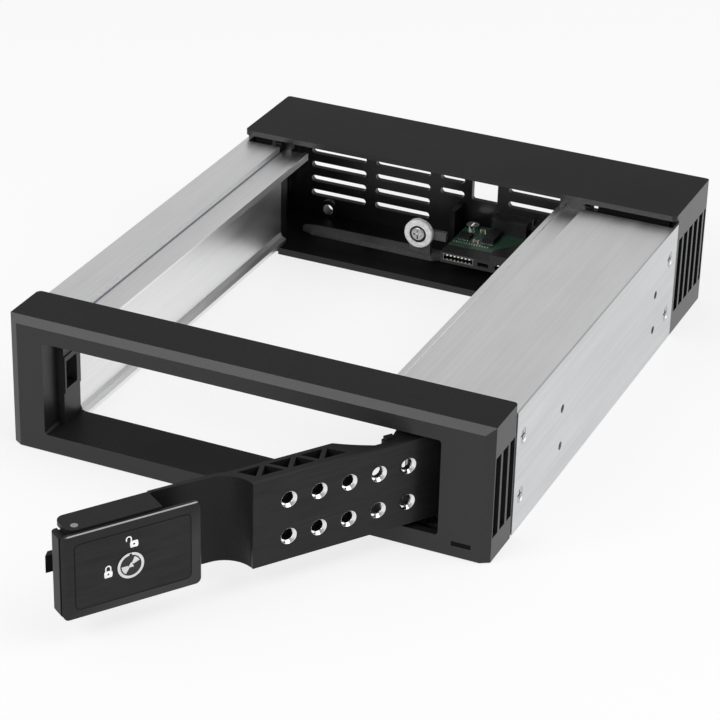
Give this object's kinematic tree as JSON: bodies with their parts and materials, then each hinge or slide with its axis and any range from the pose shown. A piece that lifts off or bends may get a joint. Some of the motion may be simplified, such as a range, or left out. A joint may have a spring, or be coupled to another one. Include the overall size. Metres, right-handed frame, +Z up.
{
  "type": "hot-swap drive bay",
  "caption": "Trayless rack that fills one drive bay: two metal rails between a black bezel and a black rear housing, with a hinged lockable door, an ejector and a connector board.",
  "frame": {"origin": "middle of the front bottom edge of the bezel, on the underside plane", "axes": "+X to the right seen from the front, +Y to the rear along the drive's travel, +Z up"},
  "size_m": [0.146, 0.2622, 0.0412],
  "materials": {
    "bezel_plastic": "moulded, fine satin texture",
    "housing_plastic": "moulded, satin",
    "aluminium": "brushed along the depth",
    "door_plastic": "moulded, satin",
    "door_plate": "brushed, anodised black",
    "steel": "plain",
    "chrome": "polished",
    "board": "green solder mask",
    "connector_plastic": "moulded",
    "contact_metal": "plated",
    "clear_plastic": "clear",
    "window_plastic": "tinted",
    "pad_plastic": "white, smooth",
    "zinc": "grey, satin"
  },
  "bodies": {
    "chassis": {"front_bezel": "bezel_plastic", "status_window": "window_plastic", "light_pipe": "clear_plastic", "status_led": "clear_plastic", "rail_left": "aluminium", "rail_right": "aluminium", "rail_right_cover": "aluminium", "rear_housing": "housing_plastic", "rail_screws": "steel", "backplane_board": "board", "board_screws": "chrome", "drive_connector": "connector_plastic", "connector_contacts": "contact_metal", "host_data_connector": "connector_plastic", "host_power_connector": "connector_plastic", "hinge_pin": "steel", "lever_pivot_pin": "steel"},
    "door": {"door_body": "door_plastic", "door_face_plate": "door_plate", "handle_pin": "steel"},
    "handle": {"handle_body": "door_plastic", "handle_plate": "door_plate", "handle_spring": "steel", "lock_barrel": "chrome", "lock_clip": "steel"},
    "lock": {"lock_plug": "chrome", "lock_cam": "steel"},
    "slide": {"ejector_slide": "steel"},
    "ejector": {"ejector_lever": "zinc", "ejector_pad": "pad_plastic", "pad_screw": "chrome"}
  },
  "joints": [
    {"name": "door_hinge", "type": "hinge", "parent": "chassis", "child": "door", "pos_m": [0.04535, 0.00973, 0.02], "axis": [0, 0, 1], "range_deg": [-55.24, 40]},
    {"name": "handle_pivot", "type": "hinge", "parent": "door", "child": "handle", "pos_m": [-0.00773, -0.07716, 0.02], "axis": [0, 0, -1], "range_deg": [0, 25], "stiffness_Nm_per_rad": 0.02, "deforming": ["handle_spring"]},
    {"name": "lock_turn", "type": "hinge", "parent": "handle", "child": "lock", "pos_m": [0.00294, -0.06844, 0.0192], "axis": [0.8215, -0.5701, 0], "range_deg": [0, 90]},
    {"name": "slide_travel", "type": "slide", "parent": "chassis", "child": "slide", "axis": [0, 1, 0], "range_m": [-0.0044, 0.0032]},
    {"name": "ejector_swing", "type": "hinge", "parent": "chassis", "child": "ejector", "pos_m": [0.025, 0.158, 0.005], "axis": [0, 0, 1], "range_deg": [-8.4, 6.1]}
  ],
  "couplings": [
    {"joint": "slide_travel", "follows": "door_hinge", "m_per_rad": 0.004435},
    {"joint": "ejector_swing", "follows": "door_hinge", "ratio": 0.1478}
  ]
}
